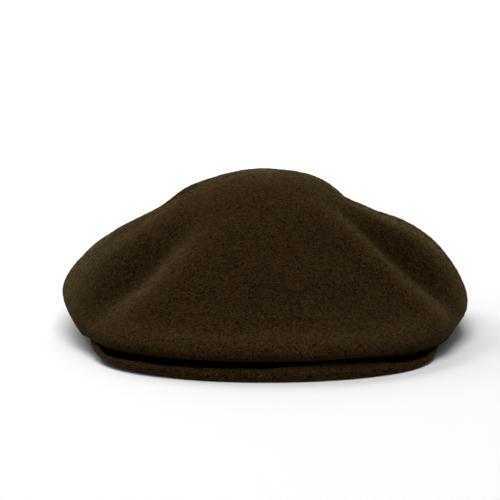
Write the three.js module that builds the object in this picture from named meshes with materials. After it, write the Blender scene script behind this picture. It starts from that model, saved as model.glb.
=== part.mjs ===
// A soft flat cap of thick wool felt, standing by itself on the back of its rim and the front edge of its peak.
// The crown is one moulded felt shell: a dome, two drooping side lobes, a front lip that folds back under,
// and a turned-down hem round the head opening. The peak is a felt-covered board under the front lip.
// Lengths are millimetres, +Z is up, the cap's front faces -Y, and angles are degrees from the front towards +X.

import * as THREE from "three";

// Driving dimensions
const headOpening = { length: 198, width: 162 };
const crownHeight = 97;
const feltThickness = 2.8;
const hemHeight = 8;
const hemFlare = 1; // how much wider the hem is at its top than at the rim
const rimLift = 12; // how far the rim rises at the front, because the peak slopes down to the table
const peakThickness = 4.8;
const rimGap = 0.6; // between the hem's outer face and the peak's inner edge
const layGap = 0.9; // between the crown's underside and the peak that it lies on
const layMargin = 2.5; // degrees that the underside still bridges past the peak's side edges
const layFall = 1; // and the slope at which it then falls away
const centreY = 14; // the head opening's centre, and the dome's, behind the middle of the whole cap

// Fineness of the facets
const columnCount = 96;
const frontCrowding = 0.3; // how much closer the columns stand at the front than on average
const innerRowStep = 2;

// The crown's outer shape, one row for each radial section. reach is the widest radius and belly its height.
// top20 to top90 are the heights at 20% to 90% of the reach. The overhang is lowest at droop, which lies
// tuck inside the reach.
const crownSections = [
  { at: -180, reach: 126, top20: 95, top40: 89, top55: 81, top75: 67, top90: 51, belly: 32, tuck: 14, droop: 10 },
  { at: -150, reach: 127, top20: 94.5, top40: 86, top55: 77, top75: 63, top90: 48, belly: 30, tuck: 15, droop: 8 },
  { at: -122, reach: 127, top20: 94, top40: 83.5, top55: 71, top75: 56, top90: 44, belly: 26, tuck: 14, droop: 4 },
  { at: -95, reach: 125, top20: 94, top40: 84, top55: 71.5, top75: 58, top90: 43, belly: 24, tuck: 13, droop: 3 },
  { at: -72, reach: 126, top20: 94, top40: 83, top55: 70, top75: 54, top90: 39, belly: 20.5, tuck: 11, droop: 4 },
  { at: -52, reach: 136, top20: 94, top40: 80, top55: 66, top75: 45, top90: 30, belly: 15, tuck: 7, droop: 5 },
  { at: -27, reach: 148, top20: 93, top40: 79, top55: 64, top75: 40, top90: 25, belly: 14, tuck: 5, droop: 9.3 },
  { at: 0, reach: 148, top20: 93, top40: 80, top55: 66, top75: 41, top90: 25, belly: 14, tuck: 5, droop: 9.3 },
  { at: 27, reach: 148, top20: 93, top40: 79, top55: 64, top75: 40, top90: 25, belly: 14, tuck: 4.5, droop: 8.5 },
  { at: 52, reach: 136, top20: 94, top40: 79, top55: 66, top75: 46, top90: 30, belly: 16, tuck: 7, droop: 5 },
  { at: 72, reach: 127.5, top20: 94.5, top40: 80, top55: 68, top75: 55, top90: 40, belly: 18.5, tuck: 12, droop: 5 },
  { at: 95, reach: 124, top20: 95, top40: 81, top55: 71, top75: 61, top90: 46, belly: 21, tuck: 13, droop: 3 },
  { at: 122, reach: 126, top20: 94.5, top40: 82, top55: 70.5, top75: 60, top90: 46, belly: 25, tuck: 14, droop: 4 },
  { at: 150, reach: 127, top20: 94.5, top40: 86, top55: 77, top75: 63.5, top90: 48.5, belly: 30, tuck: 15, droop: 8 },
];

// The soft folds that run down from the dome. rise is outwards, so a dent's is negative. A fold is at `at` at its
// lower end and turns by `turn` towards its upper end. from and to are shares of the way from the dome's top to
// the widest radius.
const folds = [
  { at: 48, turn: -9, width: 11, rise: 4.5, from: 0.32, to: 1.05 },
  { at: 60, turn: -8, width: 11.5, rise: -5.5, from: 0.32, to: 1.05 },
  { at: 74, turn: -6, width: 22, rise: 5, from: 0.3, to: 1.02 },
  { at: 26, turn: -3, width: 24, rise: -2.5, from: 0.35, to: 0.95 },
  { at: -40.5, turn: 14, width: 10.5, rise: 4.5, from: 0.4, to: 1.05 },
  { at: -53, turn: 14, width: 11, rise: -6, from: 0.4, to: 1.05 },
  { at: -69, turn: 8, width: 22, rise: 4, from: 0.35, to: 1.02 },
  { at: -86, turn: 0, width: 10, rise: 1.8, from: 0.5, to: 0.85 },
  { at: -98, turn: 2, width: 6, rise: -5, from: 0.3, to: 0.58 },
];

// Low rounded swellings of the felt, and hollows where rise is negative. The middle of one lies `down` of the way
// from the dome's top to the widest radius. It is `across` wide in millimetres, and `along` long as a share.
const swells = [
  { at: 0, down: 0.69, across: 42, along: 0.075, rise: 1.4 },
  { at: 0, down: 0.955, across: 95, along: 0.045, rise: 1.3 },
  { at: -20, down: 0.8, across: 20, along: 0.09, rise: -1.6 },
  { at: 22, down: 0.81, across: 28, along: 0.1, rise: -2 },
  { at: -114, down: 0.4, across: 12, along: 0.09, rise: 1.3 },
  { at: 96, down: 0.3, across: 26, along: 0.07, rise: 1.3 },
  { at: 96, down: 0.43, across: 22, along: 0.045, rise: -2 },
];

// The peak's outline, alike on both sides: its edge's distance from the head opening's centre.
const peakOutline = [
  { at: 0, reach: 154 },
  { at: 14, reach: 154 },
  { at: 27, reach: 152.5 },
  { at: 34, reach: 150 },
  { at: 40, reach: 145.5 },
  { at: 45, reach: 139.5 },
  { at: 49, reach: 133 },
  { at: 53, reach: 127 },
  { at: 57, reach: 121 },
  { at: 61, reach: 115.5 },
  { at: 65, reach: 110.5 },
];
const peakHalfAngle = 64;
const peakBow = 1.5; // how far the peak's board arches up between the rim and its edge
const peakTurn = -2.2; // degrees that the peak lies askew under the crown
const peakSideLift = 3; // how far its edge on the -X side is bent up off the table
const peakSideLiftAngle = 50; // and the angle by which the bend is complete

// The stretches of a section of the crown, from the dome's top down to the rim, and the rows of facets on each
const stretches = [
  { to: "top20", part: "top", rows: 3 },
  { to: "top40", part: "top", rows: 3 },
  { to: "top55", part: "top", rows: 2 },
  { to: "top75", part: "top", rows: 3 },
  { to: "top90", part: "top", rows: 3 },
  { to: "widest", part: "top", rows: 4 },
  { to: "lowest", part: "underside", rows: 4 },
  { to: "underside", part: "underside", rows: 2 },
  { to: "hemTop", part: "underside", rows: 3 },
  { to: "rim", part: "hem", rows: 2 },
];

const radians = THREE.MathUtils.degToRad;
const clamp = THREE.MathUtils.clamp;

// A smooth value between the rows of a table whose `at` runs through 360 degrees and comes back to its start.
function roundTable(rows, column, at) {
  const turn = 360;
  const count = rows.length;
  const row = (i) => {
    const laps = Math.floor(i / count);
    const found = rows[i - laps * count];
    return { at: found.at + laps * turn, value: found[column] };
  };
  const wrapped = THREE.MathUtils.euclideanModulo(at - rows[0].at, turn) + rows[0].at;
  let i = 0;
  while (row(i + 1).at <= wrapped) i += 1;
  return hermite(row(i - 1), row(i), row(i + 1), row(i + 2), wrapped);
}

// A smooth value between the rows of a table that is the same on both sides of the front.
function mirroredTable(rows, column, at) {
  const last = rows.length - 1;
  const row = (i) => {
    const k = clamp(Math.abs(i), 0, last);
    return { at: i < 0 ? -rows[k].at : rows[k].at + Math.max(0, i - last), value: rows[k][column] };
  };
  const side = clamp(Math.abs(at), 0, rows[last].at);
  let i = 0;
  while (i < last - 1 && rows[i + 1].at <= side) i += 1;
  return hermite(row(i - 1), row(i), row(i + 1), row(i + 2), side);
}

// The cubic from b to c whose slopes look one row further each way.
function hermite(a, b, c, d, at) {
  const span = c.at - b.at;
  const slopeB = (c.value - a.value) / (c.at - a.at);
  const slopeC = (d.value - b.value) / (d.at - b.at);
  const f = (at - b.at) / span;
  const f2 = f * f;
  const f3 = f2 * f;
  return (
    b.value * (2 * f3 - 3 * f2 + 1) +
    slopeB * span * (f3 - 2 * f2 + f) +
    c.value * (3 * f2 - 2 * f3) +
    slopeC * span * (f3 - f2)
  );
}

// A point at a radius and an angle round the head opening's centre.
function polar(radius, at, z) {
  const angle = radians(at);
  return new THREE.Vector3(radius * Math.sin(angle), centreY - radius * Math.cos(angle), z);
}

// The radius of the head opening's oval, on the inside of the hem.
function openingRadius(at) {
  const a = headOpening.length / 2;
  const b = headOpening.width / 2;
  const angle = radians(at);
  return (a * b) / Math.hypot(b * Math.cos(angle), a * Math.sin(angle));
}

function hemRadius(at) {
  return openingRadius(at) + feltThickness;
}

// The rim lies on the table over its back half and rises smoothly towards the front.
function rimHeight(at) {
  const y = polar(hemRadius(at), at, 0).y;
  const frontY = polar(hemRadius(0), 0, 0).y;
  return rimLift * THREE.MathUtils.smoothstep(centreY - y, 0, centreY - frontY);
}

// The height of the peak's underside over the table: level with the rim, and sloping down away from it.
function boardHeight(radius, at) {
  const depth = peakOutline[0].reach - hemRadius(0);
  const share = clamp((radius - hemRadius(at)) / depth, 0, 1);
  const lift = peakSideLift * THREE.MathUtils.smoothstep(-at, 0, peakSideLiftAngle);
  return rimHeight(at) * (1 - share) + 4 * peakBow * share * (1 - share) + lift * share;
}

// The lowest that the crown's underside may hang at a place: on the peak, or falling away beside it.
function layHeight(radius, at) {
  const side = Math.max(0, Math.abs(at - peakTurn) - layMargin);
  const outside = Math.max(0, radius - mirroredTable(peakOutline, "reach", side));
  const beside = radius * radians(Math.max(0, side - peakHalfAngle));
  return boardHeight(radius, at) + peakThickness + layGap - layFall * (outside + beside);
}

// The points that one radial section of the crown's outer face runs through, as radius and height.
function sectionKnots(at) {
  const value = (column) => roundTable(crownSections, column, at);
  const reach = value("reach");
  const hem = hemRadius(at);
  const rim = rimHeight(at);
  const knots = {
    start: [0, crownHeight],
    top20: [0.2 * reach, value("top20")],
    top40: [0.4 * reach, value("top40")],
    top55: [0.55 * reach, value("top55")],
    top75: [0.75 * reach, value("top75")],
    top90: [0.9 * reach, value("top90")],
    widest: [reach, value("belly")],
    lowest: [reach - value("tuck"), value("droop")],
    hemTop: [hem + hemFlare, rim + hemHeight],
    rim: [hem, rim],
  };
  knots.underside = knots.lowest.map((low, i) => (low + knots.hemTop[i]) / 2);
  return knots;
}

// One radial section of the crown's outer face, from the dome's top to the rim. share runs from 0 at the top to 1
// at the widest radius, and on below it.
function crownSection(at) {
  const knots = sectionKnots(at);
  const mirrored = [-knots.top20[0], knots.top20[1]]; // makes the dome's top level
  const through = [mirrored, knots.start, ...stretches.map((stretch) => knots[stretch.to])];
  const curve = new THREE.CatmullRomCurve3(
    through.map(([r, z]) => new THREE.Vector3(r, 0, z)),
    false,
    "centripetal",
  );
  const steps = stretches.flatMap(({ part, rows }, i) =>
    Array.from({ length: rows }, (_, row) => ({ part, along: i + 1 + row / rows })),
  );
  steps.push({ part: "hem", along: stretches.length + 1 });
  return steps.map(({ part, along }) => {
    const { x: r, z } = curve.getPoint(along / (through.length - 1));
    const share = part === "top" ? r / knots.widest[0] : 2 - r / knots.widest[0];
    return { r, z: part === "underside" ? Math.max(z, layHeight(r, at)) : z, share };
  });
}

// How far the folds and swellings push the felt outwards at a place on the crown.
function foldRise(at, radius, share) {
  let rise = 0;
  for (const fold of folds) {
    if (share <= fold.from || share >= fold.to) continue;
    const along = (share - fold.from) / (fold.to - fold.from);
    const foldAt = fold.at + fold.turn * (1 - along);
    const across = (radius * radians(at - foldAt)) / fold.width;
    rise += fold.rise * Math.exp(-across * across) * Math.sin(Math.PI * along);
  }
  for (const swell of swells) {
    const across = (radius * radians(at - swell.at)) / swell.across;
    const along = (share - swell.down) / swell.along;
    rise += swell.rise * Math.exp(-across * across - along * along);
  }
  return rise;
}

// Indexed triangles between rows of points. A row of one point is a pole, and rows close round on themselves.
function sheetTriangles(rows, flip) {
  const triangles = [];
  const add = (a, b, c) => triangles.push(...(flip ? [a, c, b] : [a, b, c]));
  for (let i = 0; i + 1 < rows.length; i += 1) {
    const upper = rows[i];
    const lower = rows[i + 1];
    for (let j = 0; j < lower.length; j += 1) {
      const k = (j + 1) % lower.length;
      if (upper.length === 1) {
        add(upper[0], lower[j], lower[k]);
      } else {
        add(upper[j], lower[j], lower[k]);
        add(upper[j], lower[k], upper[k]);
      }
    }
  }
  return triangles;
}

function geometryOf(points, triangles) {
  const geometry = new THREE.BufferGeometry();
  geometry.setAttribute("position", new THREE.Float32BufferAttribute(points.flatMap((p) => p.toArray()), 3));
  geometry.setIndex(triangles);
  geometry.computeVertexNormals();
  return geometry;
}

// The angles of the crown's sections, which stand closer together at the front.
const columns = Array.from({ length: columnCount }, (_, j) => {
  const turn = (2 * j) / columnCount - 1;
  return 180 * (turn - (frontCrowding * Math.sin(Math.PI * turn)) / Math.PI);
});

// The outer face of the crown: rows of points from the dome's top to the rim.
function crownOuterFace() {
  const sections = columns.map(crownSection);
  const points = [];
  const rows = sections[0].map((_, i) => {
    const places = i === 0 ? [0] : columns.map((_, j) => j);
    return places.map((j) => {
      points.push(polar(sections[j][i].r, columns[j], sections[j][i].z));
      return points.length - 1;
    });
  });
  const smooth = geometryOf(points, sheetTriangles(rows, false));
  const normals = smooth.getAttribute("normal");
  rows.forEach((row, i) =>
    row.forEach((index, j) => {
      const { r, share } = sections[j][i];
      const normal = new THREE.Vector3().fromBufferAttribute(normals, index);
      points[index].addScaledVector(normal, foldRise(columns[j], r, share));
    }),
  );
  return { points, rows };
}

// The crown: its outer face, the same face one felt thickness further in, and a flat rim between them.
function crownGeometry() {
  const { points, rows } = crownOuterFace();
  const outerTriangles = sheetTriangles(rows, false);
  const normals = geometryOf(points, outerTriangles).getAttribute("normal");
  const last = rows.length - 1;
  const keptRows = rows.filter((_, i) => i % innerRowStep === 0 || i >= last - 1);
  const innerRows = keptRows.map((row) =>
    row.map((index) => {
      const normal = new THREE.Vector3().fromBufferAttribute(normals, index);
      const atRim = row === rows[last];
      if (atRim) normal.setZ(0).normalize();
      points.push(points[index].clone().addScaledVector(normal, -feltThickness));
      return points.length - 1;
    }),
  );
  const rim = [rows[last], innerRows[innerRows.length - 1]];
  return geometryOf(points, [
    ...outerTriangles,
    ...sheetTriangles(innerRows, true),
    ...sheetTriangles(rim, false),
  ]);
}

// One cross section of the peak, from its underside at the rim round the soft front edge and back over the top.
function peakLoop(at) {
  const inner = hemRadius(at) + rimGap;
  const edgeRadius = peakThickness / 2;
  const flat = mirroredTable(peakOutline, "reach", at - peakTurn) - edgeRadius;
  const across = [0, 1 / 3, 2 / 3, 1].map((share) => THREE.MathUtils.lerp(inner, flat, share));
  const under = across.map((r) => polar(r, at, boardHeight(r, at)));
  const over = across.map((r) => polar(r, at, boardHeight(r, at) + peakThickness)).reverse();
  const edge = [-45, 0, 45].map((angle) => {
    const r = flat + edgeRadius * Math.cos(radians(angle));
    return polar(r, at, boardHeight(flat, at) + edgeRadius * (1 + Math.sin(radians(angle))));
  });
  return [...under, ...edge, ...over];
}

function peakGeometry() {
  const points = [];
  const inFront = columns.filter((at) => Math.abs(at - peakTurn) < peakHalfAngle);
  const loops = inFront.map((at) => peakLoop(at).map((p) => points.push(p) - 1));
  const cap = (loop, flip) => {
    const triangles = [];
    for (let j = 1; j + 1 < loop.length; j += 1) {
      triangles.push(...(flip ? [loop[0], loop[j + 1], loop[j]] : [loop[0], loop[j], loop[j + 1]]));
    }
    return triangles;
  };
  return geometryOf(points, [
    ...sheetTriangles(loops, false),
    ...cap(loops[0], false),
    ...cap(loops[loops.length - 1], true),
  ]);
}

const brownFelt = { color: 0x3b2b19, roughness: 0.96, metalness: 0 };

const crown = new THREE.Mesh(crownGeometry(), new THREE.MeshStandardMaterial(brownFelt));
crown.name = "crown";

const peak = new THREE.Mesh(peakGeometry(), new THREE.MeshStandardMaterial(brownFelt));
peak.name = "peak";

// The cap stands on the table, with the middle of its box over the origin.
const cap = new THREE.Group();
cap.add(crown, peak);
const box = new THREE.Box3().setFromObject(cap);
const middle = box.getCenter(new THREE.Vector3());
cap.position.set(-middle.x, -middle.y, -box.min.z);

export default cap;
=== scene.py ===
"""The looks of a soft flat cap of dark brown wool felt, lying on a pale floor.

The cap rests on the back of its rim and on the front edge of its peak. The crown is one moulded felt shell, and the
peak is a board covered in the same felt. Sizes are millimetres, and angles are degrees round the head opening's
centre, from the cap's front (-Y) towards +X. The finished meshes are in metres.
"""

import logging
import math
from dataclasses import dataclass
from enum import Enum
from typing import Callable, Sequence

import bpy
import numpy as np
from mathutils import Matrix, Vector


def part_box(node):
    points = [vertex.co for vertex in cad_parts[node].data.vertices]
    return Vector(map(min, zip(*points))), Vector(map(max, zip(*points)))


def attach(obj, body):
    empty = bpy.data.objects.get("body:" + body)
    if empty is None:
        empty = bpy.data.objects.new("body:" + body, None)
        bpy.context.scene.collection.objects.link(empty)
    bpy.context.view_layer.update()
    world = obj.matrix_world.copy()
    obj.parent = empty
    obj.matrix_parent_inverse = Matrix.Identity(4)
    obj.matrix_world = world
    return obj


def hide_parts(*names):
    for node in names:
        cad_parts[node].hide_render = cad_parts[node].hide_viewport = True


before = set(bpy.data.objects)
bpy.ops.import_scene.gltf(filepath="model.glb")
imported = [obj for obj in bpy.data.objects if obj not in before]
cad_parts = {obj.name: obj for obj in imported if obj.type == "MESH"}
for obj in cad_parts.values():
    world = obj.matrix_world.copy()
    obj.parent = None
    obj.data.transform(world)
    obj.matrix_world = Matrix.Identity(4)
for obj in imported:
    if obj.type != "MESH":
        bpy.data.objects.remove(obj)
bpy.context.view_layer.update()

MM = 0.001
Array = np.ndarray
Piece = bpy.types.Object
Socket = bpy.types.NodeSocket
Colour = tuple[float, float, float]
Feed = Socket | float | Sequence[float]
log = logging.getLogger("cap")

# Keeps a place on a grid just short of the last row, so that there is a next row to blend with
LAST_ROW_MARGIN = 1.001

# How many sides a fibre has
FIBRE_SIDES = 3

# Where a mix node takes the share and the two colours, and where it gives the result
MIX_INPUTS = (0, 6, 7)
MIX_RESULT = 2


class Part(Enum):
    """The faces that a section of the crown runs over, from the top of the dome down to the rim."""

    TOP = "top"
    UNDERSIDE = "underside"
    HEM = "hem"


@dataclass(frozen=True)
class Section:
    """One radial section of the crown.

    reach is the widest radius and belly its height. top20 to top90 are the heights at 20% to 90% of the reach. The
    overhang is lowest at droop, which lies tuck inside the reach.
    """

    at: float
    reach: float
    top20: float
    top40: float
    top55: float
    top75: float
    top90: float
    belly: float
    tuck: float
    droop: float


@dataclass(frozen=True)
class Fold:
    """A soft fold that runs down from the dome, or a dent where rise is negative.

    Its lower end lies at an angle, and its upper end lies turn further round. start and end are shares of the way
    from the top of the dome to the widest radius.
    """

    at: float
    turn: float
    width: float
    rise: float
    start: float
    end: float

    def rise_at(self, at: Array, radius: Array, share: Array) -> Array:
        """The fold's rise at each place.

        Args:
            at: Angles from the front.
            radius: Distances from the opening's centre.
            share: Shares of the way down to the widest radius.

        Returns:
            How far the felt stands out.
        """
        along = np.clip((share - self.start) / (self.end - self.start), 0, 1)
        across = radius * np.radians(at - self.at - self.turn * (1 - along)) / self.width
        return self.rise * np.exp(-(across**2)) * np.sin(np.pi * along)


@dataclass(frozen=True)
class Swell:
    """A low rounded rise in the felt, or a hollow where rise is negative.

    Its middle lies at an angle and at a share of the way down to the widest radius. It is across wide in
    millimetres, and along long as a share.
    """

    at: float
    share: float
    across: float
    along: float
    rise: float

    def rise_at(self, at: Array, radius: Array, share: Array) -> Array:
        """The swell's rise at each place, given by angle, radius and share of the way down."""
        across = radius * np.radians(at - self.at) / self.across
        return self.rise * np.exp(-(across**2) - ((share - self.share) / self.along) ** 2)


@dataclass(frozen=True)
class Stretch:
    """A stretch of a crown section, the face that it lies on, and how many rows of points it has."""

    to: str
    part: Part
    rows: int


SECTIONS = (
    Section(-180, 126, 95, 89, 81, 67, 51, 32, 14, 10),
    Section(-150, 127, 94.5, 86, 77, 63, 48, 30, 15, 8),
    Section(-122, 127, 94, 83.5, 71, 56, 44, 26, 14, 4),
    Section(-95, 125, 94, 84, 71.5, 58, 43, 24, 13, 3),
    Section(-72, 126, 94, 83, 70, 54, 39, 20.5, 13.5, 2),
    Section(-52, 136, 94, 80, 66, 45, 30, 15, 8, 5),
    Section(-27, 148, 93, 79, 64, 40, 25, 14, 5, 9.3),
    Section(0, 148, 93, 80, 66, 41, 25, 14, 5, 9.3),
    Section(27, 148, 93, 79, 64, 40, 25, 14, 4.5, 8.5),
    Section(52, 136, 94, 79, 66, 46, 30, 16, 7, 5),
    Section(72, 127.5, 94.5, 80, 68, 55, 40, 18.5, 12, 5),
    Section(95, 124, 95, 81, 71, 61, 46, 21, 13, 3),
    Section(122, 126, 94.5, 82, 70.5, 60, 46, 25, 14, 4),
    Section(150, 127, 94.5, 86, 77, 63.5, 48.5, 30, 15, 8),
)

FOLDS = (
    Fold(at=48, turn=-9, width=11, rise=4.5, start=0.32, end=1.05),
    Fold(at=60, turn=-8, width=11.5, rise=-5.5, start=0.32, end=1.05),
    Fold(at=74, turn=-6, width=22, rise=5, start=0.3, end=1.02),
    Fold(at=26, turn=-3, width=24, rise=-2.5, start=0.35, end=0.95),
    Fold(at=-40.5, turn=14, width=13.5, rise=3.2, start=0.4, end=1.05),
    Fold(at=-55, turn=14, width=14, rise=-4.5, start=0.4, end=1.05),
    Fold(at=-69, turn=8, width=22, rise=4, start=0.35, end=1.02),
    Fold(at=-86, turn=0, width=10, rise=1.8, start=0.5, end=0.85),
    Fold(at=-98, turn=2, width=6, rise=-5, start=0.3, end=0.58),
)

SWELLS = (
    Swell(at=0, share=0.69, across=42, along=0.075, rise=1.4),
    Swell(at=0, share=0.955, across=95, along=0.045, rise=1.3),
    Swell(at=-20, share=0.8, across=20, along=0.09, rise=-1.6),
    Swell(at=22, share=0.81, across=28, along=0.1, rise=-2),
    Swell(at=-114, share=0.4, across=12, along=0.09, rise=1.3),
    Swell(at=96, share=0.3, across=26, along=0.07, rise=1.3),
    Swell(at=96, share=0.43, across=22, along=0.045, rise=-2),
    Swell(at=19, share=1.03, across=20, along=0.03, rise=-1.2),
    Swell(at=37, share=1.02, across=18, along=0.02, rise=1),
)

# Wear and painted light: paler stripes on the ridges and one crest are painted highlights, partly wear; darker stripes
# and patches in the valleys and low on the left are painted shade
WEAR_AND_PAINTED_LIGHT = (
    Fold(at=52, turn=-8.5, width=10, rise=0.85, start=0.26, end=1.1),
    Fold(at=-44, turn=14, width=18, rise=0.36, start=0.36, end=0.95),
    Fold(at=-78, turn=-3, width=3.5, rise=0.5, start=0.3, end=0.58),
    Fold(at=62, turn=-6, width=13, rise=-0.4, start=0.3, end=1.02),
    Fold(at=-56, turn=12, width=14, rise=-0.35, start=0.35, end=1.02),
    Swell(at=-35, share=0.42, across=22, along=0.14, rise=-0.15),
    Swell(at=-80, share=0.88, across=40, along=0.18, rise=-0.4),
)

# How far the peak's edge lies from the opening's centre, at angles to either side of its middle
PEAK_EDGE = (
    (0, 154), (14, 154), (27, 152.5), (34, 150), (40, 145.5), (45, 140),
    (49, 134.3), (53, 129), (57, 124), (61, 119), (65, 114.5),
)

# How far out past the crown's widest radius the peak lies in the lip's shadow, at angles from the front
LIP_SHADOW = (
    (-49, -4), (-44, 1), (-41, 3.4), (-36, 4), (-28, 1.2), (-20, 0.2), (-14, 0), (-1, 0),
    (5, -3), (12, -5.2), (19, -5.4), (26, -3), (32, 1), (38, 1.4), (42, -0.8), (47, -4),
)

# The share of the widest radius at which each height of a section's top is given
TOP_SHARES = {"top20": 0.2, "top40": 0.4, "top55": 0.55, "top75": 0.75, "top90": 0.9}

STRETCHES = (
    Stretch("top20", Part.TOP, 16),
    Stretch("top40", Part.TOP, 16),
    Stretch("top55", Part.TOP, 12),
    Stretch("top75", Part.TOP, 18),
    Stretch("top90", Part.TOP, 14),
    Stretch("widest", Part.TOP, 16),
    Stretch("lowest", Part.UNDERSIDE, 14),
    Stretch("underside", Part.UNDERSIDE, 7),
    Stretch("hem_top", Part.UNDERSIDE, 8),
    Stretch("rim", Part.HEM, 5),
)


def cubic_between(knots: Array, values: Array, at: Array) -> Array:
    """Smooth values between knots, on cubics whose slopes look one knot further each way.

    Args:
        knots: The places of the values, in rising order, with one more at each end than the places asked for.
        values: The value at each knot.
        at: The places asked for.

    Returns:
        The value at each place.
    """
    i = np.clip(np.searchsorted(knots, at, side="right") - 1, 1, len(knots) - 3)
    slopes = (values[2:] - values[:-2]) / (knots[2:] - knots[:-2])
    span = knots[i + 1] - knots[i]
    f = (at - knots[i]) / span
    return (
        values[i] * (2 * f**3 - 3 * f**2 + 1)
        + slopes[i - 1] * span * (f**3 - 2 * f**2 + f)
        + values[i + 1] * (3 * f**2 - 2 * f**3)
        + slopes[i] * span * (f**3 - f**2)
    )


def centripetal_point(knots: Sequence[Array], share: float) -> Array:
    """A point between the middle two of four knots, on a centripetal curve, which doesn't overshoot.

    Args:
        knots: Four arrays of radius and height.
        share: How far along, from 0 at the second knot to 1 at the third.

    Returns:
        The radius and the height.
    """
    before, start, end, after = knots
    steps = [np.hypot(*(b - a)) ** 0.5 for a, b in ((before, start), (start, end), (end, after))]
    leave = (start - before) / steps[0] - (end - before) / (steps[0] + steps[1]) + (end - start) / steps[1]
    arrive = (end - start) / steps[1] - (after - start) / (steps[1] + steps[2]) + (after - end) / steps[2]
    leave, arrive = leave * steps[1], arrive * steps[1]
    return (
        start
        + leave * share
        + (-3 * start + 3 * end - 2 * leave - arrive) * share**2
        + (2 * start - 2 * end + leave + arrive) * share**3
    )


def smoothstep(low: float, high: float, x: Array) -> Array:
    """A smooth rise from 0 at low to 1 at high."""
    t = np.clip((x - low) / (high - low), 0, 1)
    return t * t * (3 - 2 * t)


def unit(vectors: Array) -> Array:
    """The same directions with a length of 1."""
    return vectors / np.maximum(np.linalg.norm(vectors, axis=-1, keepdims=True), 1e-12)


def grid_normals(points: Array) -> Array:
    """The outward directions on a grid of rows that close round on themselves.

    Args:
        points: Rows of points, ordered from the top down and with the angle rising along each row.

    Returns:
        A unit vector for each point.
    """
    along = np.roll(points, -1, axis=1) - np.roll(points, 1, axis=1)
    down = np.gradient(points, axis=0)
    return unit(np.cross(down, along))


def mesh_object(name: str, points: Array, faces: list[tuple[int, ...]]) -> Piece:
    """Makes a smooth-shaded mesh object.

    Args:
        name: The object's name.
        points: Its points, in millimetres.
        faces: Its faces, as indices of the points.

    Returns:
        The new object, linked to the scene.
    """
    mesh = bpy.data.meshes.new(name)
    mesh.from_pydata((points * MM).tolist(), [], faces)
    mesh.shade_smooth()
    mesh.update()
    piece = bpy.data.objects.new(name, mesh)
    bpy.context.scene.collection.objects.link(piece)
    return piece


def ring_faces(upper: Sequence[int], lower: Sequence[int]) -> list[tuple[int, ...]]:
    """The quads between two rings of point indices, facing out where the lower ring is below."""
    count = len(upper)
    return [(upper[j], lower[j], lower[(j + 1) % count], upper[(j + 1) % count]) for j in range(count)]


def set_values(piece: Piece, name: str, values: Array) -> None:
    """Stores a number for each point of a piece's mesh, for its material to read."""
    stored = piece.data.attributes.new(name, "FLOAT", "POINT")
    stored.data.foreach_set("value", values.astype(np.float32))


@dataclass(frozen=True)
class Layer:
    """A layer of soft variation: its lumps' size in millimetres, how ragged they are, and its contrast."""

    size: float
    detail: float
    contrast: float


class Graph:
    """The nodes of one material, added and joined in short calls."""

    def __init__(self, name: str) -> None:
        """Starts a new material with an empty node tree.

        Args:
            name: The material's name.
        """
        self.material = bpy.data.materials.new(name)
        self.material.use_nodes = True
        self.tree = self.material.node_tree
        self.tree.nodes.clear()

    def node(self, kind: str, inputs: dict[str | int, Feed] | None = None, **settings: str) -> bpy.types.Node:
        """Adds a node.

        Args:
            kind: The node's type.
            inputs: For each input's name or number, a value or the output socket that feeds it.
            **settings: The node's own properties.

        Returns:
            The new node.
        """
        made = self.tree.nodes.new(kind)
        for key, value in settings.items():
            setattr(made, key, value)
        for key, value in (inputs or {}).items():
            self.feed(made.inputs[key], value)
        return made

    def feed(self, socket: Socket, value: Feed) -> None:
        """Joins an input to what feeds it, or sets it to a plain value.

        Args:
            socket: The input.
            value: The output socket or the value.
        """
        if isinstance(value, Socket):
            self.tree.links.new(value, socket)
        else:
            socket.default_value = value

    def math(self, operation: str, a: Feed, b: Feed = 0.0) -> Socket:
        """The result of a sum on one or two values."""
        made = self.node("ShaderNodeMath", {0: a, 1: b}, operation=operation)
        return made.outputs[0]

    def vector(self, operation: str, *values: Feed) -> Socket:
        """The result of a sum on vectors."""
        made = self.node("ShaderNodeVectorMath", dict(enumerate(values)), operation=operation)
        return made.outputs[0]

    def total(self, *parts: tuple[Socket, float]) -> Socket:
        """Adds values up, each times its weight.

        Args:
            *parts: Each value with its weight.

        Returns:
            The sum.
        """
        summed = self.math("MULTIPLY", *parts[0])
        for socket, weight in parts[1:]:
            summed = self.math("ADD", summed, self.math("MULTIPLY", socket, weight))
        return summed

    def contrast(self, value: Socket, gain: float) -> Socket:
        """A value round 0.5, taken gain times as far from it and kept between 0 and 1."""
        ends = {"From Min": 0.5 - 0.5 / gain, "From Max": 0.5 + 0.5 / gain}
        return self.node("ShaderNodeMapRange", {"Value": value, **ends}).outputs[0]

    def ramp(self, value: Socket, stops: Sequence[tuple[float, Colour]]) -> Socket:
        """A colour that changes with a value.

        Args:
            value: The value.
            stops: Values in rising order, each with its colour.

        Returns:
            The colour.
        """
        made = self.node("ShaderNodeValToRGB", {"Fac": value})
        elements = made.color_ramp.elements
        while len(elements) < len(stops):
            elements.new(0.5)
        for element, (position, colour) in zip(elements, stops):
            element.position = position
            element.color = (*colour, 1)
        return made.outputs["Color"]

    def mixed(self, share: Feed, first: Feed, second: Feed) -> Socket:
        """A colour mixed from two, by the second's share."""
        made = self.node("ShaderNodeMix", dict(zip(MIX_INPUTS, (share, first, second))), data_type="RGBA")
        return made.outputs[MIX_RESULT]

    def noise(self, place: Socket, size: float, detail: float) -> bpy.types.Node:
        """Adds soft noise whose lumps are about size millimetres across."""
        return self.node("ShaderNodeTexNoise", {"Vector": place, "Scale": 1 / (size * MM), "Detail": detail})

    def layer(self, place: Socket, layer: Layer) -> Socket:
        """One layer of variation over a surface, between 0 and 1."""
        return self.contrast(self.noise(place, layer.size, layer.detail).outputs["Fac"], layer.contrast)

    def stored(self, name: str) -> Socket:
        """A number that the mesh holds for each of its points."""
        return self.node("ShaderNodeAttribute", attribute_name=name).outputs["Fac"]


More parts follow.
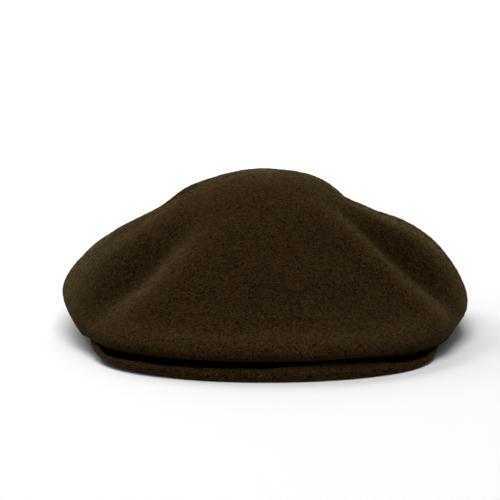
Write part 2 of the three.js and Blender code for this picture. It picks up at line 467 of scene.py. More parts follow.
@dataclass(frozen=True)
class Felt:
    """Brushed wool felt: matted curly fibres of mixed browns under a soft sheen.

    tones holds the values at which the four browns lie. tone_weights says how much the curls, grain, clumps and
    patches count in the colour, and height_weights how much the first three count in the relief.
    """

    name: str
    dark: Colour = (0.0038, 0.0015, 0.0002)
    middle: Colour = (0.0106, 0.0048, 0.0009)
    light: Colour = (0.0415, 0.0232, 0.0085)
    palest: Colour = (0.064, 0.0385, 0.0175)
    warm: Colour = (1.12, 0.95, 0.84)
    cool: Colour = (0.9, 1.04, 1.1)
    shadow: Colour = (0.0001, 0.00005, 0.00003)
    # Pale colour of the painted sheen, mixed in towards the outline
    painted_sheen: Colour = (0.142, 0.11, 0.054)
    sheen: Colour = (0.62, 0.44, 0.2)
    sheen_weight: float = 0.11
    sheen_roughness: float = 0.5
    roughness: float = 0.95
    warp_size: float = 4.5
    warp_detail: float = 1.0
    warp: float = 4.0
    long_curl: float = 2.2
    long_width: float = 0.1
    short_curl: float = 1.4
    short_width: float = 0.12
    short_shift: tuple[float, float, float] = (0.31, 0.17, 0.23)
    curl_detail: float = 0.6
    grain: Layer = Layer(size=0.65, detail=1.5, contrast=2.8)
    clump: Layer = Layer(size=3.0, detail=2.5, contrast=2.0)
    patch: Layer = Layer(size=34.0, detail=2.0, contrast=1.6)
    hue: Layer = Layer(size=5.0, detail=3.0, contrast=2.2)
    tones: tuple[float, ...] = (0.2, 0.42, 0.72, 1.0)
    tone_weights: tuple[float, ...] = (0.43, 0.35, 0.14, 0.08)
    # How far the stored wear and painted light shifts the tone
    wear_and_painted_light_tone: float = 0.3
    height_weights: tuple[float, ...] = (0.4, 0.35, 0.7)
    relief: float = 0.6
    relief_strength: float = 0.8
    # How narrow the painted sheen is, how far wear and painted light take it away, and how it varies with the grain
    painted_sheen_edge: float = 5.5
    painted_sheen_loss: float = 1.6
    painted_sheen_speckle: float = 1.1

    def strands(self, graph: Graph, place: Socket, size: float, width: float) -> Socket:
        """Thin curly lines, like fibres lying every way.

        Args:
            graph: The material's nodes.
            place: Where on the felt.
            size: About how far apart the lines lie, in millimetres.
            width: Their width as a share of that.

        Returns:
            1 on the middle of a line, falling to 0 at its sides.
        """
        wave = graph.noise(place, size, self.curl_detail).outputs["Fac"]
        level = graph.math("ABSOLUTE", graph.math("SUBTRACT", wave, 0.5))
        return graph.math("MAXIMUM", graph.math("SUBTRACT", 1.0, graph.math("DIVIDE", level, width)), 0.0)

    def painted_sheen_share(self, graph: Graph, grain: Socket, wear_and_painted_light: Socket) -> Socket:
        """How much painted sheen shows: most where the felt turns away from the view, and least where the stored wear
        and painted light is high.

        Args:
            graph: The material's nodes.
            grain: The felt's fine grain.
            wear_and_painted_light: The stored wear and painted light, high where the felt is painted paler.

        Returns:
            The share of the painted sheen's colour.
        """
        # Painted sheen: the colour turns pale where the surface turns away from the view
        facing = graph.node("ShaderNodeLayerWeight", {"Blend": 0.5}).outputs["Facing"]
        share = graph.math("POWER", facing, self.painted_sheen_edge)
        sheen_kept = graph.math("SUBTRACT", 1.0, graph.math("MULTIPLY", wear_and_painted_light, self.painted_sheen_loss))
        sheen_kept = graph.math("MINIMUM", graph.math("MAXIMUM", sheen_kept, 0.0), 1.0)
        speckle = graph.math("ADD", graph.math("MULTIPLY", grain, self.painted_sheen_speckle), 1 - self.painted_sheen_speckle / 2)
        return graph.math("MULTIPLY", graph.math("MULTIPLY", share, sheen_kept), speckle)

    def surface(self, graph: Graph, colour: Socket, height: Socket) -> None:
        """Ends the nodes in the felt's shader, which gives way to a painted shadow, a near-black diffuse, where the
        mesh holds painted shade.

        Args:
            graph: The material's nodes.
            colour: The felt's colour.
            height: The height of its fine relief.
        """
        relief = {"Height": height, "Strength": self.relief_strength, "Distance": self.relief * MM}
        felt = graph.node(
            "ShaderNodeBsdfPrincipled",
            {
                "Base Color": colour,
                "Roughness": self.roughness,
                "Specular IOR Level": 0.0,
                "Sheen Weight": self.sheen_weight,
                "Sheen Roughness": self.sheen_roughness,
                "Sheen Tint": (*self.sheen, 1),
                "Normal": graph.node("ShaderNodeBump", relief).outputs["Normal"],
            },
        )
        # Painted shadow: a near-black diffuse takes over where the mesh holds painted shade under the lip
        unlit = graph.node("ShaderNodeBsdfDiffuse", {"Color": (*self.shadow, 1)})
        shaders = {"Fac": graph.stored("shade"), 1: felt.outputs["BSDF"], 2: unlit.outputs["BSDF"]}
        with_painted_shadow = graph.node("ShaderNodeMixShader", shaders)
        graph.node("ShaderNodeOutputMaterial", {"Surface": with_painted_shadow.outputs["Shader"]})

    def material(self) -> bpy.types.Material:
        """Builds the felt's material.

        Returns:
            The new material.
        """
        graph = Graph(self.name)
        place = graph.node("ShaderNodeTexCoord").outputs["Object"]
        sway = graph.noise(place, self.warp_size, self.warp_detail)
        pull = graph.vector("SUBTRACT", sway.outputs["Color"], (0.5, 0.5, 0.5))
        moved = graph.vector("MULTIPLY_ADD", pull, (self.warp * MM,) * 3, place)
        aside = graph.vector("ADD", moved, self.short_shift)
        long_strands = self.strands(graph, moved, self.long_curl, self.long_width)
        strand = graph.math("MAXIMUM", long_strands, self.strands(graph, aside, self.short_curl, self.short_width))
        grain, clump = graph.layer(moved, self.grain), graph.layer(place, self.clump)
        patch, hue = graph.layer(place, self.patch), graph.layer(moved, self.hue)
        # Wear and painted light: painted highlights, partly wear, on ridges, lip band and dome top, and painted shade
        # in the valleys, shift the tone
        wear_and_painted_light = graph.stored("wear_and_painted_light")
        tone = graph.total(*zip((strand, grain, clump, patch), self.tone_weights))
        tone = graph.total((tone, 1.0), (wear_and_painted_light, self.wear_and_painted_light_tone))
        colour = graph.ramp(tone, tuple(zip(self.tones, (self.dark, self.middle, self.light, self.palest))))
        colour = graph.vector("MULTIPLY", colour, graph.mixed(hue, (*self.warm, 1), (*self.cool, 1)))
        # Painted sheen mixed into the base colour towards the outline
        colour = graph.mixed(self.painted_sheen_share(graph, grain, wear_and_painted_light), colour, (*self.painted_sheen, 1))
        height = graph.total(*zip((strand, grain, clump), self.height_weights))
        self.surface(graph, colour, height)
        return graph.material


@dataclass(frozen=True)
class Fibre:
    """Loose wool fibres, each a shade of its own between two browns."""

    name: str
    dark: Colour = (0.007, 0.0035, 0.0011)
    light: Colour = (0.12, 0.076, 0.027)
    roughness: float = 0.9

    def material(self) -> bpy.types.Material:
        """Builds the fibres' material, which reads each fibre's tone from the mesh.

        Returns:
            The new material.
        """
        graph = Graph(self.name)
        colour = graph.mixed(graph.stored("tone"), (*self.dark, 1), (*self.light, 1))
        finish = {"Base Color": colour, "Roughness": self.roughness, "Specular IOR Level": 0.0}
        shader = graph.node("ShaderNodeBsdfPrincipled", finish)
        graph.node("ShaderNodeOutputMaterial", {"Surface": shader.outputs["BSDF"]})
        return graph.material


def finish_piece(piece: Piece, material: bpy.types.Material) -> None:
    """Gives a piece its material and its body, and reports it.

    Args:
        piece: The piece.
        material: Its material.
    """
    piece.data.materials.append(material)
    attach(piece, "root")
    log.info("%s: %d faces", piece.name, len(piece.data.polygons))


@dataclass
class HeadOpening:
    """The oval head opening, measured inside the hem."""

    length: float = 198
    width: float = 162
    wall: float = 2.8
    front_lift: float = 12

    def outside(self, at: Array) -> Array:
        """The radius of the hem's outer face.

        Args:
            at: Angles from the front.

        Returns:
            The radius at each angle.
        """
        a, b = self.length / 2, self.width / 2
        angle = np.radians(at)
        return a * b / np.hypot(b * np.cos(angle), a * np.sin(angle)) + self.wall

    def rim_height(self, at: Array) -> Array:
        """The rim's height over the floor: it lies down at the back and rises smoothly towards the front."""
        forward = self.outside(at) * np.cos(np.radians(at))
        return self.front_lift * smoothstep(0, 1, forward / self.outside(np.zeros(1)))


@dataclass
class Peak:
    """The wide felt-covered board under the crown's front lip, bent up a little on its left."""

    opening: HeadOpening
    thickness: float = 4.8
    bow: float = 1.5
    half_angle: float = 65
    turn: float = -1.5
    side_lift: float = 3
    lifted_at: float = 50
    rim_gap: float = 0.6
    stations: int = 220
    rows_across: int = 60
    edge_points: int = 11
    shadow_edge: float = 0.5
    # Darkens the whole board through the stored wear and painted light
    wear_and_painted_light: float = -0.22
    # How narrow the board's painted sheen is towards its outline
    painted_sheen_edge: float = 12

    def edge_reach(self, side: Array) -> Array:
        """The edge's distance from the opening's centre.

        Args:
            side: Angles to either side of the peak's middle.

        Returns:
            The distance at each angle.
        """
        at, reach = zip(*PEAK_EDGE)
        knots = np.array([-at[1], *at, at[-1] + 1])
        values = np.array([reach[1], *reach, reach[-1]])
        return cubic_between(knots, values, np.clip(np.abs(side), 0, at[-1]))

    def board_height(self, radius: Array, at: Array) -> Array:
        """The height of the board's underside, level with the rim and sloping down away from it.

        Args:
            radius: Distances from the opening's centre.
            at: Angles from the front.

        Returns:
            Heights over the floor.
        """
        depth = self.edge_reach(np.zeros(1)) - self.opening.outside(np.zeros(1))
        share = np.clip((radius - self.opening.outside(at)) / depth, 0, 1)
        hump = 4 * self.bow * share * (1 - share)
        lift = self.side_lift * smoothstep(0, self.lifted_at, -at)
        return self.opening.rim_height(at) * (1 - share) + hump + lift * share

    def loops(self) -> Array:
        """Cross sections side by side, each running out under the board, round its edge and back over it.

        Returns:
            An array of stations by points by radius, angle and height.
        """
        at = self.turn + np.linspace(-self.half_angle, self.half_angle, self.stations)[:, None]
        inner = self.opening.outside(at) + self.rim_gap
        edge_radius = self.thickness / 2
        flat = self.edge_reach(at - self.turn) - edge_radius
        out = inner + (flat - inner) * np.linspace(0, 1, self.rows_across)
        turn = np.radians(np.linspace(-90, 90, self.edge_points + 2)[1:-1])
        round_r = flat + edge_radius * np.cos(turn)
        round_z = self.board_height(flat, at) + edge_radius * (1 + np.sin(turn))
        under_z = self.board_height(out, at)
        radius = np.concatenate([out, round_r, out[:, ::-1]], axis=1)
        height = np.concatenate([under_z, round_z, (under_z + self.thickness)[:, ::-1]], axis=1)
        return np.stack([radius, np.broadcast_to(at, radius.shape), height], axis=-1)

    def lip_shade(self, loops: Array, lip: Array) -> Array:
        """How dark the board's top is in the shadow of the crown's lip.

        Args:
            loops: The board's cross sections.
            lip: The crown's widest radius at each point of them.

        Returns:
            1 in the shadow and 0 outside it, for each point.
        """
        past = loops[..., 0] - lip - np.interp(loops[..., 1], *zip(*LIP_SHADOW))
        shade = 1 - smoothstep(-self.shadow_edge, self.shadow_edge, past)
        shade[:, : self.rows_across + self.edge_points // 2] = 0
        return shade

    def build(self, shift: Array, lip_at: Callable[[Array], Array]) -> tuple[Piece, Array, Array]:
        """Makes the board from its cross sections.

        Args:
            shift: From the opening's centre to the frame's origin.
            lip_at: Gives the crown's widest radius at any angle.

        Returns:
            The board, its cross sections as rows of points, and how far each point lies in the lip's shadow.
        """
        loops = self.loops()
        angle = np.radians(loops[..., 1])
        across, forward = loops[..., 0] * np.sin(angle), -loops[..., 0] * np.cos(angle)
        points = np.stack([across, forward, loops[..., 2]], axis=-1) + shift
        count = points.shape[1]
        indices = [list(range(i * count, (i + 1) * count)) for i in range(len(points))]
        faces: list[tuple[int, ...]] = []
        for near, far in zip(indices, indices[1:]):
            faces += ring_faces(near, far)
        faces += [tuple(indices[0]), tuple(reversed(indices[-1]))]
        board = mesh_object("peak_felt", points.reshape(-1, 3), faces)
        shade = self.lip_shade(loops, lip_at(loops[..., 1]))
        # Painted shadow under the lip, and the board's stored wear and painted light
        set_values(board, "shade", shade.ravel())
        set_values(board, "wear_and_painted_light", np.full(shade.size, self.wear_and_painted_light))
        return board, points, shade

    def dress(self, peak_felt: Piece) -> None:
        """Puts the board in its solid's place and covers it in felt."""
        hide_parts("peak")
        finish_piece(peak_felt, Felt("peak_felt", painted_sheen_edge=self.painted_sheen_edge).material())


@dataclass
class Crown:
    """The moulded felt shell: its dome, side lobes, front lip, underside and turned-down hem."""

    opening: HeadOpening
    peak: Peak
    height: float = 97
    hem_height: float = 8
    hem_flare: float = 1
    rim_round: float = 1.2
    lay_gap: float = 0.9
    lay_margin: float = 2.5
    lay_fall: float = 1
    columns: int = 384
    front_crowding: float = 0.3
    inner_row_step: int = 4
    rim_turns: tuple[float, ...] = (30, 60, 90, 120, 150)
    # A band above the lip and the dome's top are painted lighter: painted highlight, partly wear
    lip_wear_and_highlight: float = 0.34
    lip_wear_and_highlight_at: float = 0.945
    lip_wear_and_highlight_width: float = 0.045
    lip_wear_and_highlight_sides: tuple[float, float] = (30, 62)
    dome_painted_highlight: float = 0.1
    dome_painted_highlight_edge: tuple[float, float] = (0.2, 0.45)
    # Painted shade where the lip turns under, full over the peak and partly beside it
    shade_edge: tuple[float, float] = (0.985, 1.03)
    shade_beside: float = 0.25
    shade_inside_peak: float = 6
    shade_past_peak: float = 8

    def angles(self) -> Array:
        """The angles of the columns of points, which stand closer together at the front."""
        turn = 2 * np.arange(self.columns) / self.columns - 1
        return 180 * (turn - self.front_crowding * np.sin(np.pi * turn) / np.pi)

    @staticmethod
    def value(column: str, at: Array) -> Array:
        """A column of the table of sections at any angle.

        Args:
            column: The column's name.
            at: Angles from the front.

        Returns:
            The value at each angle.
        """
        knots = np.array([section.at for section in SECTIONS], dtype=float)
        values = np.array([getattr(section, column) for section in SECTIONS], dtype=float)
        around = np.concatenate([knots[-2:] - 360, knots, knots[:3] + 360])
        return cubic_between(around, np.concatenate([values[-2:], values, values[:3]]), at)

    def lay_height(self, radius: Array, at: Array) -> Array:
        """The lowest that the underside may hang: on the peak, or falling away beside it.

        Args:
            radius: Distances from the opening's centre.
            at: Angles from the front.

        Returns:
            Heights over the floor.
        """
        side = np.maximum(0, np.abs(at - self.peak.turn) - self.lay_margin)
        outside = np.maximum(0, radius - self.peak.edge_reach(side))
        beside = radius * np.radians(np.maximum(0, side - self.peak.half_angle))
        top = self.peak.board_height(radius, at) + self.peak.thickness
        return top + self.lay_gap - self.lay_fall * (outside + beside)

    def knots(self, at: Array) -> list[Array]:
        """The points that the sections run through.

        Args:
            at: The sections' angles.

        Returns:
            One array of radius and height for each knot, from the mirrored one before the dome's top to the rim.
        """
        reach = self.value("reach", at)
        hem = self.opening.outside(at)
        rim = self.opening.rim_height(at)
        found = {name: np.array([share * reach, self.value(name, at)]) for name, share in TOP_SHARES.items()}
        found["widest"] = np.array([reach, self.value("belly", at)])
        found["lowest"] = np.array([reach - self.value("tuck", at), self.value("droop", at)])
        found["hem_top"] = np.array([hem + self.hem_flare, rim + self.hem_height])
        found["rim"] = np.array([hem, rim + self.rim_round])
        found["underside"] = (found["lowest"] + found["hem_top"]) / 2
        start = np.array([0 * reach, 0 * reach + self.height])
        mirrored = found["top20"] * np.array([[-1], [1]])
        return [mirrored, start, *(found[stretch.to] for stretch in STRETCHES)]

    def sections(self, at: Array) -> tuple[Array, Array, Array]:
        """Smooth sections from the dome's top to the rim.

        Args:
            at: The sections' angles.

        Returns:
            The radius, the height and the share of the way down to the widest radius, each as rows by columns.
        """
        knots = self.knots(at)
        after_last = 2 * knots[-1] - knots[-2]
        knots.append(after_last)
        reach = self.value("reach", at)
        rows: list[tuple[Array, Array, Array]] = []
        for i, stretch in enumerate(STRETCHES):
            last = i == len(STRETCHES) - 1
            for step in range(stretch.rows + last):
                radius, height = centripetal_point(knots[i : i + 4], step / stretch.rows)
                if stretch.part is Part.TOP:
                    share = radius / reach
                else:
                    share = 2 - radius / reach
                if stretch.part is Part.UNDERSIDE:
                    height = np.maximum(height, self.lay_height(radius, at))
                rows.append((radius, height, share))
        radius, height, share = (np.array(values) for values in zip(*rows))
        return radius, height, share

    def outer_face(self) -> Array:
        """The outer face as rows of points, from the dome's top to the rim.

        Returns:
            An array of rows by columns by x, y and z, with the opening's centre at the origin.
        """
        at = self.angles()
        radius, height, share = self.sections(at)
        angle = np.radians(at)
        points = np.stack([radius * np.sin(angle), -radius * np.cos(angle), height], axis=-1)
        normals = grid_normals(points)
        normals[0] = (0, 0, 1)
        rise = sum(shape.rise_at(at, radius, share) for shape in (*FOLDS, *SWELLS))
        return points + normals * rise[..., None]

    def inner_face(self, outer: Array) -> Array:
        """The inner face: some of the outer face's rows, set in by the wall.

        Args:
            outer: The outer face as rows of points.

        Returns:
            The inner face as fewer rows of points.
        """
        normals = grid_normals(outer)
        normals[0] = (0, 0, 1)
        rows = np.arange(0, len(outer), self.inner_row_step)
        rows = np.append(rows[:-1], len(outer) - 1)
        inward = normals[rows]
        inward[-1, :, 2] = 0
        return outer[rows] - unit(inward) * self.opening.wall

    def round_rim(self, outer: Array, inner: Array) -> list[Array]:
        """Rows of points that round the rim off between the two faces.

        Args:
            outer: The outer face's last row.
            inner: The inner face's last row.

        Returns:
            The rows, from the outer one to the inner one.
        """
        rows = []
        for turn in np.radians(self.rim_turns):
            across = outer + (inner - outer) * (1 - math.cos(turn)) / 2
            rows.append(across - np.array([0, 0, self.rim_round * math.sin(turn)]))
        return rows

    def build(self, shift: Array) -> tuple[Piece, Array]:
        """Makes the shell: the outer face, the rounded rim and the inner face.

        Args:
            shift: From the opening's centre to the frame's origin.

        Returns:
            The crown, and its outer face as rows of points.
        """
        outer = self.outer_face() + shift
        inner = self.inner_face(outer)
        rings = [*outer[1:], *self.round_rim(outer[-1], inner[-1]), *inner[:0:-1]]
        points = np.concatenate([outer[:1, 0], *rings, inner[:1, 0]])
        count = self.columns
        indices = [list(range(1 + i * count, 1 + (i + 1) * count)) for i in range(len(rings))]
        faces: list[tuple[int, ...]] = []
        for upper, lower in zip(indices, indices[1:]):
            faces += ring_faces(upper, lower)
        first, final = indices[0], indices[-1]
        pole = len(points) - 1
        faces += [(0, first[j], first[(j + 1) % count]) for j in range(count)]
        faces += [(pole, final[(j + 1) % count], final[j]) for j in range(count)]
        crown = mesh_object("crown_felt", points, faces)
        # Stores the painted shade under the lip and the wear and painted light for the material
        for name, values in (("shade", self.lip_shade()), ("wear_and_painted_light", self.wear_and_painted_light())):
            everywhere = np.zeros((len(rings), count))
            everywhere[: len(outer) - 1] = values[1:]
            set_values(crown, name, np.concatenate([[0], everywhere.ravel(), [0]]))
        return crown, outer

    def wear_and_painted_light(self) -> Array:
        """Wear and painted light on the outer face: painted highlights, partly wear, on the ridges, one crest, the
        band above the lip and the dome's top, and painted shade in the valleys.

        Returns:
            A number for each point of the outer face.
        """
        at = self.angles()
        radius, _, share = self.sections(at)
        pale = sum(shape.rise_at(at, radius, share) for shape in WEAR_AND_PAINTED_LIGHT)
        lip = np.exp(-(((share - self.lip_wear_and_highlight_at) / self.lip_wear_and_highlight_width) ** 2))
        lip = lip * (1 - smoothstep(*self.lip_wear_and_highlight_sides, np.abs(at)))
        return pale + self.lip_wear_and_highlight * lip + self.dome_painted_highlight * (1 - smoothstep(*self.dome_painted_highlight_edge, share))

    def lip_shade(self) -> Array:
        """How much painted shade darkens the felt where the lip turns under, fully over the peak and partly beside it.

        Returns:
            A number for each point of the outer face.
        """
        at = self.angles()
        _, _, share = self.sections(at)
        end = self.peak.half_angle
        side = np.abs(at - self.peak.turn)
        over_peak = 1 - smoothstep(end - self.shade_inside_peak, end + self.shade_past_peak, side)
        return smoothstep(*self.shade_edge, share) * (self.shade_beside + (1 - self.shade_beside) * over_peak)

    @staticmethod
    def dress(crown_felt: Piece) -> None:
        """Puts the crown in its solid's place and gives it its felt."""
        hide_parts("crown")
        finish_piece(crown_felt, Felt("crown_felt").material())


@dataclass
class Skin:
    """A grid of points over a felt surface, which a fibre can be laid along."""

    points: Array
    normals: Array
    closed: bool

    def at(self, values: Array, row: Array, column: Array) -> Array:
        """The grid's values at places between its points.

        Args:
            values: The points or the normals.
            row: Places along the rows.
            column: Places along the columns.

        Returns:
            The values, blended between the four nearest points.
        """
        rows, columns = values.shape[:2]
        row = np.clip(row, 0, rows - LAST_ROW_MARGIN)
        top, left = row.astype(int), np.floor(column).astype(int)
        u, v = (row - top)[:, None], (column - left)[:, None]
        if self.closed:
            left, right = left % columns, (left + 1) % columns
        else:
            left, right = np.clip(left, 0, columns - 1), np.clip(left + 1, 0, columns - 1)
        upper = values[top, left] * (1 - v) + values[top, right] * v
        lower = values[top + 1, left] * (1 - v) + values[top + 1, right] * v
        return upper * (1 - u) + lower * u

    def cell_areas(self) -> Array:
        """The area of each cell of the grid.

        Returns:
            The areas as rows by columns.
        """
        ahead = np.roll(self.points, -1, axis=1) if self.closed else self.points[:, 1:]
        near = self.points if self.closed else self.points[:, :-1]
        return np.linalg.norm(np.cross(near[1:] - near[:-1], ahead[:-1] - near[:-1]), axis=-1)


@dataclass
class Fuzz:
    """Short curly fibres that lie along a felt surface and stand a little out of it.

    A fibre starts sink deep in the felt and arches by its own share of lift. The higher low_lying and pale are, the
    more of the fibres lie low and are dark.
    """

    name: str
    count: int
    seed: int
    shortest: float = 1.8
    longest: float = 4.6
    lift: float = 0.45
    radius: float = 0.085
    curl: float = 2.8
    rings: int = 3
    pale: float = 1.5
    low_lying: float = 1.5
    arch: float = 0.8
    tip_rise: tuple[float, float] = (-0.6, 1.1)
    tip_width: float = 0.6
    sink: float = 0.05

    def trace(self, skin: Skin, wanted: Array, draw: np.random.Generator) -> tuple[Array, Array]:
        """Starts the fibres at random places and lets each run along the skin.

        Args:
            skin: The surface that they lie on.
            wanted: How thickly they grow on each cell of its grid.
            draw: Gives the random numbers.

        Returns:
            The fibres' points and the skin's outward directions at them, each as rings by fibres by x, y and z.
        """
        weight = (skin.cell_areas() * wanted).ravel()
        cells = draw.choice(len(weight), size=self.count, p=weight / weight.sum())
        row, column = (place + draw.random(self.count) for place in np.unravel_index(cells, wanted.shape))
        length = draw.uniform(self.shortest, self.longest, (self.count, 1))
        start = draw.uniform(0, math.tau, (self.count, 1))
        bend = draw.normal(0, self.curl, (self.count, 1))
        rise = self.lift * draw.random((self.count, 1)) ** self.low_lying
        tip = draw.uniform(*self.tip_rise, (self.count, 1))
        path, outs = [], []
        for ring in range(self.rings + 1):
            s = ring / self.rings
            place = skin.at(skin.points, row, column)
            out = unit(skin.at(skin.normals, row, column))
            path.append(place + out * (rise * (math.sin(math.pi * self.arch * s) + tip * s * s) - self.sink))
            outs.append(out)
            down = skin.at(skin.points, row + 0.5, column) - skin.at(skin.points, row - 0.5, column)
            along = skin.at(skin.points, row, column + 0.5) - skin.at(skin.points, row, column - 0.5)
            first = unit(along - out * (along * out).sum(axis=-1, keepdims=True))
            turn = start + bend * s
            step = (np.cos(turn) * first + np.sin(turn) * np.cross(out, first)) * length / self.rings
            row = row + self.cells_along(step, down)
            column = column + self.cells_along(step, along)
        return np.array(path), np.array(outs)

    @staticmethod
    def cells_along(step: Array, cell: Array) -> Array:
        """How many cells a step crosses along a cell's side, where a side under 0.1 mm counts as 0.1 mm."""
        return (step * cell).sum(axis=-1) / np.maximum((cell**2).sum(axis=-1), 0.01)

    def tubes(self, path: Array, outs: Array) -> Array:
        """Three-sided tubes along the fibres, each ending in a point and none below the floor.

        Args:
            path: The fibres' points.
            outs: The skin's outward directions at them.

        Returns:
            The tubes' points, one fibre after the other.
        """
        heading = unit(np.gradient(path, axis=0))
        across = unit(np.cross(heading, outs))
        upward = np.cross(across, heading)
        taper = np.linspace(1, self.tip_width, self.rings)[:, None, None] * self.radius
        corners = [
            path[:-1] + taper * (math.cos(turn) * across[:-1] + math.sin(turn) * upward[:-1])
            for turn in (math.radians(90 + 360 / FIBRE_SIDES * k) for k in range(FIBRE_SIDES))
        ]
        points = np.concatenate([np.stack(corners, axis=1).reshape(-1, self.count, 3), path[-1:]])
        points = points.transpose(1, 0, 2).reshape(-1, 3)
        points[:, 2] = np.maximum(points[:, 2], 0)
        return points

    def triangles(self) -> Array:
        """The triangles of one fibre's tube.

        Returns:
            Three indices of its own points for each triangle.
        """
        found = [(0, 2, 1)]
        for ring in range(self.rings - 1):
            for k in range(FIBRE_SIDES):
                a, b = FIBRE_SIDES * ring + k, FIBRE_SIDES * ring + (k + 1) % FIBRE_SIDES
                found += [(a, b, b + FIBRE_SIDES), (a, b + FIBRE_SIDES, a + FIBRE_SIDES)]
        last = FIBRE_SIDES * (self.rings - 1)
        found += [(last + k, last + (k + 1) % FIBRE_SIDES, last + FIBRE_SIDES) for k in range(FIBRE_SIDES)]
        return np.array(found)

    def grow(self, skin: Skin, wanted: Array) -> Piece:
        """Grows the fibres.

        Args:
            skin: The surface that they lie on.
            wanted: How thickly they grow on each cell of its grid.

        Returns:
            All the fibres as one mesh object.
        """
        draw = np.random.default_rng(self.seed)
        points = self.tubes(*self.trace(skin, wanted, draw))
        per_fibre = FIBRE_SIDES * self.rings + 1
        faces = (self.triangles()[None] + per_fibre * np.arange(self.count)[:, None, None]).reshape(-1, 3)
        piece = mesh_object(self.name, points, faces.tolist())
        set_values(piece, "tone", np.repeat(draw.random(self.count) ** self.pale, per_fibre))
        return piece


@dataclass
class Nap:
    """All the loose fibres on the crown's outside and on the part of the peak that shows."""

    crown: Skin
    peak: Skin
    on_each_side: int = 12000
    on_peak: int = 4000
    stray: int = 150
    side_seed: int = 11
    peak_seed: int = 21
    stray_seed: int = 31
    front_end: float = 20
    crown_shade_limit: float = 0.2
    peak_shade_limit: float = 0.02

    def build(self, crown_shade: Array, peak_shade: Array) -> None:
        """Grows and dresses the fibres, clear of the deep shadow under the lip.

        Args:
            crown_shade: How dark each point of the crown's skin is.
            peak_shade: How dark each point of the peak's skin is.
        """
        fibre = Fibre("loose_fibre").material()
        middle = self.crown.points[:-1, :, 0]
        front = self.crown.points[:-1, :, 1] < self.front_end
        outside = crown_shade[:-1] < self.crown_shade_limit
        areas = {
            "crown_fuzz_left": front & (middle < 0) & outside,
            "crown_fuzz_right": front & (middle >= 0) & outside,
            "crown_fuzz_back": ~front & outside,
        }
        for seed, (name, wanted) in enumerate(areas.items(), start=self.side_seed):
            fuzz = Fuzz(name, self.on_each_side, seed)
            finish_piece(fuzz.grow(self.crown, wanted.astype(float)), fibre)
        uncovered = (peak_shade[:-1, :-1] < self.peak_shade_limit).astype(float)
        fuzz = Fuzz("peak_fuzz", self.on_peak, self.peak_seed)
        finish_piece(fuzz.grow(self.peak, uncovered), fibre)
        hairs = Fuzz(
            "stray_hairs", self.stray, self.stray_seed, shortest=3.5, longest=8, lift=0.9, curl=2.0, rings=6, pale=0.25
        )
        finish_piece(hairs.grow(self.crown, (front & outside).astype(float)), fibre)


@dataclass(frozen=True)
class Softbox:
    """A soft square light that faces the cap.

    around is its angle round the cap, from the front towards +X, and up its angle above the floor. size is its
    side in millimetres, and power is in watts.
    """

    name: str
    around: float
    up: float
    size: float
    power: float


# One main light from above, one on the back's left, and weak ones that open the shadows
SOFTBOXES = (
    Softbox("top", around=0, up=68, size=800, power=13),
    Softbox("back_left", around=-140, up=40, size=700, power=9.2),
    Softbox("back", around=180, up=40, size=700, power=4),
    Softbox("front", around=0, up=35, size=1100, power=3.1),
)


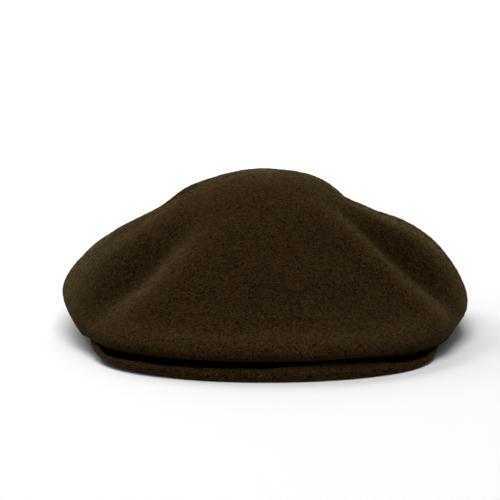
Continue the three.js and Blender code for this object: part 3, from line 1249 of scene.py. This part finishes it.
@dataclass
class Studio:
    """The pale floor, the soft light and the camera."""

    aim: tuple[float, float, float] = (-9.0, 0.0, 50.3)
    distance: float = 1500
    azimuth: float = 1.3
    elevation: float = 10.5
    view_width: float = 307
    sensor: float = 36
    cap_middle: tuple[float, float, float] = (0.0, 0.0, 50.0)
    light_distance: float = 1400
    room_light: float = 0.1
    far_light_place: tuple[float, float, float] = (0.0, 1300.0, 1500.0)
    far_light_facing: tuple[float, float, float] = (0.0, 1400.0, -1150.0)
    far_light_size: float = 1500
    far_light_power: float = 45
    floor_colour: Colour = (0.86, 0.86, 0.86)
    floor_roughness: float = 0.9
    sweep_steps: int = 24
    sweep_radius: float = 900
    sweep_front: float = -2600
    sweep_back: float = 1900
    sweep_half_width: float = 3200
    sweep_height: float = 2600

    def lay_floor(self) -> None:
        """Lays a floor that curves up into a wall far behind the cap."""
        profile = [(self.sweep_front, 0.0)]
        for turn in np.radians(np.linspace(0, 90, self.sweep_steps)):
            back = self.sweep_back + self.sweep_radius * math.sin(turn)
            profile.append((back, self.sweep_radius * (1 - math.cos(turn))))
        profile.append((self.sweep_back + self.sweep_radius, self.sweep_height))
        points = np.array([(x, y, z) for y, z in profile for x in (-self.sweep_half_width, self.sweep_half_width)])
        faces = [(2 * i, 2 * i + 1, 2 * i + 3, 2 * i + 2) for i in range(len(profile) - 1)]
        floor = mesh_object("floor", points, faces)
        graph = Graph("pale_floor")
        finish = {"Base Color": (*self.floor_colour, 1), "Roughness": self.floor_roughness}
        shader = graph.node("ShaderNodeBsdfPrincipled", finish)
        graph.node("ShaderNodeOutputMaterial", {"Surface": shader.outputs["BSDF"]})
        floor.data.materials.append(graph.material)

    @staticmethod
    def hang(name: str, place: Vector, facing: Vector, size: float, power: float) -> None:
        """Hangs a square soft light.

        Args:
            name: The light's name.
            place: Where it hangs, in millimetres.
            facing: The way that it shines.
            size: Its side in millimetres.
            power: Its power in watts.
        """
        light = bpy.data.lights.new(name, "AREA")
        light.size = size * MM
        light.energy = power
        lamp = bpy.data.objects.new(name, light)
        lamp.location = place * MM
        lamp.rotation_euler = facing.to_track_quat("-Z", "Y").to_euler()
        bpy.context.scene.collection.objects.link(lamp)

    def hang_softbox(self, box: Softbox) -> None:
        """Hangs a soft light that faces the cap.

        Args:
            box: The light.
        """
        turn, lift = math.radians(box.around), math.radians(box.up)
        away = Vector((math.cos(lift) * math.sin(turn), -math.cos(lift) * math.cos(turn), math.sin(lift)))
        self.hang(box.name, Vector(self.cap_middle) + away * self.light_distance, -away, box.size, box.power)

    def light(self) -> None:
        """Sets the lights round the cap, the light on the floor far behind it and the even light of the room."""
        world = bpy.data.worlds.new("room")
        world.use_nodes = True
        room = world.node_tree.nodes["Background"].inputs
        room["Color"].default_value = (1, 1, 1, 1)
        room["Strength"].default_value = self.room_light
        bpy.context.scene.world = world
        for box in SOFTBOXES:
            self.hang_softbox(box)
        place, facing = Vector(self.far_light_place), Vector(self.far_light_facing)
        self.hang("far_floor", place, facing, self.far_light_size, self.far_light_power)

    def set_camera(self) -> None:
        """Puts the camera at the photo's angle to the cap."""
        across, up = math.radians(self.azimuth), math.radians(self.elevation)
        view = Vector((math.cos(up) * math.sin(across), math.cos(up) * math.cos(across), -math.sin(up)))
        lens = bpy.data.cameras.new("camera")
        lens.sensor_width = self.sensor
        lens.lens = self.sensor * self.distance / self.view_width
        camera = bpy.data.objects.new("camera", lens)
        camera.location = (Vector(self.aim) - view * self.distance) * MM
        camera.rotation_euler = view.to_track_quat("-Z", "Y").to_euler()
        bpy.context.scene.collection.objects.link(camera)
        bpy.context.scene.camera = camera

    def build(self) -> None:
        """Sets the whole stage."""
        self.lay_floor()
        self.light()
        self.set_camera()
        bpy.context.scene.view_settings.view_transform = "Standard"
        log.info("stage: floor, %d lights and camera", len(SOFTBOXES) + 1)


def frame_shift(crown: Crown) -> Array:
    """The shift from the opening's centre to the frame's origin, from the crown's box in the frame.

    Args:
        crown: The crown's sizes.

    Returns:
        The shift along x, y and z in millimetres.
    """
    low, high = (np.array(corner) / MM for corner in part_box("crown"))
    own = crown.outer_face().reshape(-1, 3)
    middle = (own.min(axis=0) + own.max(axis=0)) / 2
    return np.array([*((low + high) / 2 - middle)[:2], 0.0])


def main() -> None:
    """Builds and dresses the cap, then sets the stage."""
    logging.basicConfig(level=logging.INFO, format="%(message)s")
    opening = HeadOpening()
    peak = Peak(opening)
    crown = Crown(opening, peak)
    shift = frame_shift(crown)

    crown_felt, crown_face = crown.build(shift)
    crown.dress(crown_felt)
    peak_felt, peak_face, peak_shade = peak.build(shift, lip_at=lambda at: crown.value("reach", at))
    peak.dress(peak_felt)

    crown_skin = Skin(crown_face, grid_normals(crown_face), closed=True)
    peak_skin = Skin(peak_face, grid_normals(peak_face), closed=False)
    Nap(crown_skin, peak_skin).build(crown.lip_shade(), peak_shade)

    Studio().build()


if __name__ == "__main__":
    main()
